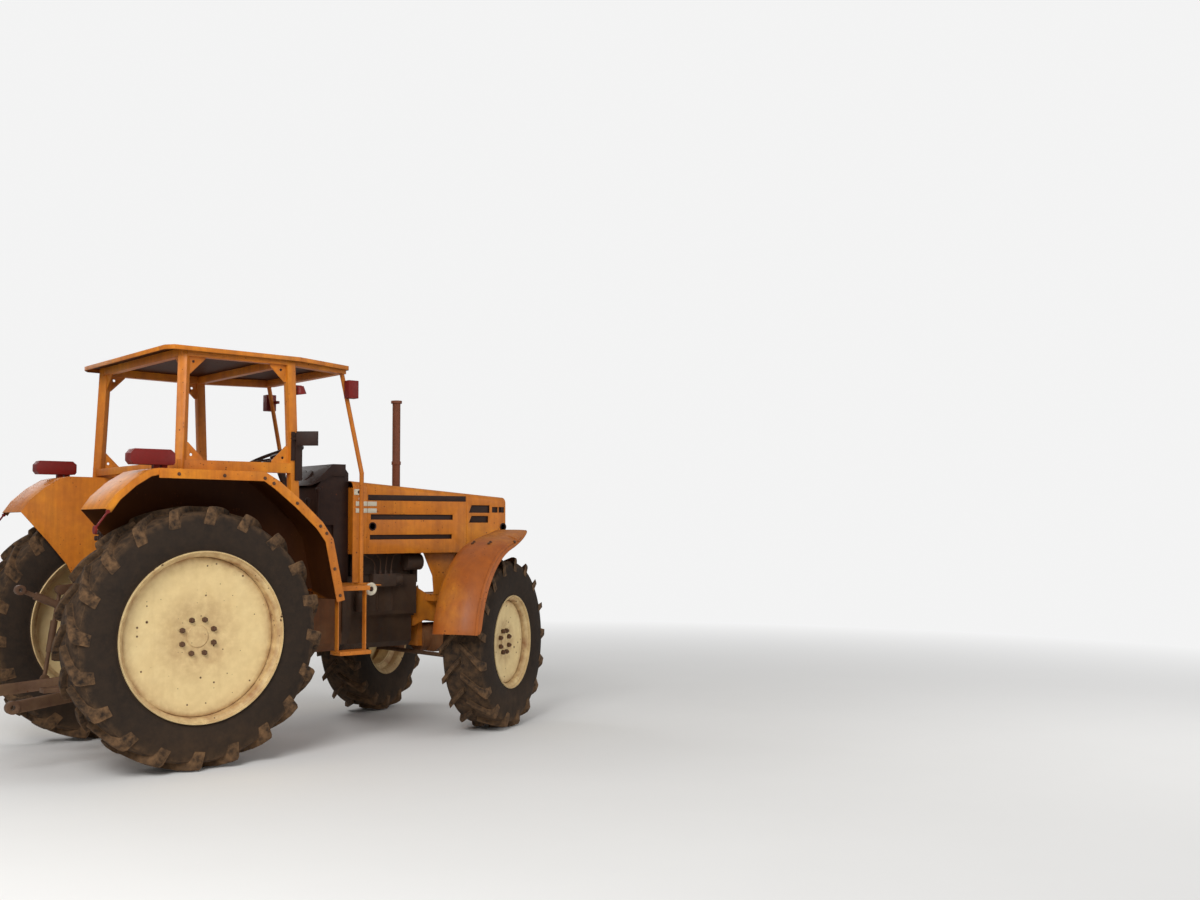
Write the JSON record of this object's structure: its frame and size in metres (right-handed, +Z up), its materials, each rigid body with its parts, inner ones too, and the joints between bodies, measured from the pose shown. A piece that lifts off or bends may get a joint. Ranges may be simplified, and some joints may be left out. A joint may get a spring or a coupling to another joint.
{
  "type": "farm tractor",
  "caption": "Four-wheel-drive farm tractor with a four-post safety cab frame, steered front mudguards, upright exhaust and rear three-point linkage.",
  "frame": {"origin": "on the ground, at the middle of the tractor's length and width", "axes": "+X forward, +Y left, +Z up"},
  "size_m": [3.8206, 2.3644, 2.5257],
  "materials": {
    "body_paint": "weathered gloss",
    "wheel_paint": "weathered satin",
    "dark_paint": "satin",
    "tyre_rubber": "matt",
    "cast_paint": "painted, grimy",
    "engine_paint": "painted, oily",
    "worn_steel": "rusty, worn bright at the eyes",
    "rusty_steel": "rusty",
    "seat_vinyl": "worn vinyl",
    "lamp_red": "gloss"
  },
  "bodies": {
    "chassis": {"bonnet": "body_paint", "bonnet_nose": "body_paint", "console": "dark_paint", "controls": "dark_paint", "cowl": "body_paint", "drawbar": "worn_steel", "engine": "engine_paint", "exhaust_stack": "rusty_steel", "frame_crossbars": "body_paint", "front_axle": "cast_paint", "front_support": "cast_paint", "gearbox": "cast_paint", "grille": "dark_paint", "marker_lamps": "lamp_red", "mirror": "dark_paint", "platform": "body_paint", "radiator": "dark_paint", "rear_axle": "cast_paint", "rear_mudguard_left": "body_paint", "rear_mudguard_right": "body_paint", "roof": "body_paint", "safety_frame": "body_paint", "seat_back": "seat_vinyl", "seat_base": "dark_paint", "seat_cushion": "seat_vinyl", "tail_lamps": "lamp_red", "valve_block": "dark_paint"},
    "rear_wheel_right": {"rear_tyre_right": "tyre_rubber", "rear_rim_right": "wheel_paint", "rear_hub_right": "cast_paint"},
    "rear_wheel_left": {"rear_tyre_left": "tyre_rubber", "rear_rim_left": "wheel_paint", "rear_hub_left": "cast_paint"},
    "front_wheel_right": {"front_tyre_right": "tyre_rubber", "front_rim_right": "wheel_paint", "front_hub_right": "cast_paint"},
    "front_wheel_left": {"front_tyre_left": "tyre_rubber", "front_rim_left": "wheel_paint", "front_hub_left": "cast_paint"},
    "knuckle_right": {"knuckle_right": "cast_paint", "front_mudguard_right": "body_paint"},
    "knuckle_left": {"knuckle_left": "cast_paint", "front_mudguard_left": "body_paint"},
    "tie_rod": {"tie_rod": "worn_steel"},
    "steering_wheel": {"steering_wheel": "dark_paint"},
    "lift_arms": {"lift_arms": "worn_steel"},
    "lower_links": {"lower_links": "worn_steel"},
    "lift_rods": {"lift_rods": "worn_steel"},
    "top_link": {"top_link": "worn_steel"}
  },
  "joints": [
    {"name": "rear_wheel_right_spin", "type": "hinge", "parent": "chassis", "child": "rear_wheel_right", "pos_m": [-0.96216, -0.72254, 0.778], "axis": [0, 1, 0], "continuous": true},
    {"name": "rear_wheel_left_spin", "type": "hinge", "parent": "chassis", "child": "rear_wheel_left", "pos_m": [-0.96216, 0.81746, 0.778], "axis": [0, 1, 0], "continuous": true},
    {"name": "steer_right", "type": "hinge", "parent": "chassis", "child": "knuckle_right", "pos_m": [1.23284, -0.51254, 0.605], "axis": [0, 0, 1], "range_deg": [-63, 3]},
    {"name": "steer_left", "type": "hinge", "parent": "chassis", "child": "knuckle_left", "pos_m": [1.23284, 0.60746, 0.605], "axis": [0, 0, 1], "range_deg": [-63, 3]},
    {"name": "tie_rod_swing", "type": "hinge", "parent": "knuckle_left", "child": "tie_rod", "pos_m": [1.07696, 0.51746, 0.5], "axis": [0, 0, 1], "range_deg": [-3, 63]},
    {"name": "front_wheel_right_spin", "type": "hinge", "parent": "knuckle_right", "child": "front_wheel_right", "pos_m": [1.31534, -0.65543, 0.605], "axis": [-0.5, 0.866, 0], "continuous": true},
    {"name": "front_wheel_left_spin", "type": "hinge", "parent": "knuckle_left", "child": "front_wheel_left", "pos_m": [1.15034, 0.75036, 0.605], "axis": [-0.5, 0.866, 0], "continuous": true},
    {"name": "steering_wheel_turn", "type": "hinge", "parent": "chassis", "child": "steering_wheel", "pos_m": [-0.05716, 0.04746, 1.917], "axis": [-0.3746, 0, 0.9272], "range_deg": [-882, 42]},
    {"name": "lift", "type": "hinge", "parent": "chassis", "child": "lift_arms", "pos_m": [-1.11216, 0.04746, 1.06], "axis": [0, 1, 0], "range_deg": [-22, 40]},
    {"name": "lower_links_swing", "type": "hinge", "parent": "chassis", "child": "lower_links", "pos_m": [-1.02216, 0.04746, 0.47], "axis": [0, 1, 0], "range_deg": [-14, 25.2]},
    {"name": "lift_rods_swing", "type": "hinge", "parent": "lift_arms", "child": "lift_rods", "pos_m": [-1.38216, 0.04746, 1.03], "axis": [0, 1, 0], "range_deg": [-40, 22]},
    {"name": "top_link_swing", "type": "hinge", "parent": "chassis", "child": "top_link", "pos_m": [-1.29216, 0.04746, 0.86], "axis": [0, 1, 0], "range_deg": [-40, 30]}
  ],
  "couplings": [
    {"joint": "steer_left", "follows": "steer_right", "ratio": 1},
    {"joint": "tie_rod_swing", "follows": "steer_right", "ratio": -1},
    {"joint": "steering_wheel_turn", "follows": "steer_right", "ratio": 14},
    {"joint": "lower_links_swing", "follows": "lift", "ratio": 0.63},
    {"joint": "lift_rods_swing", "follows": "lift", "ratio": -1}
  ]
}
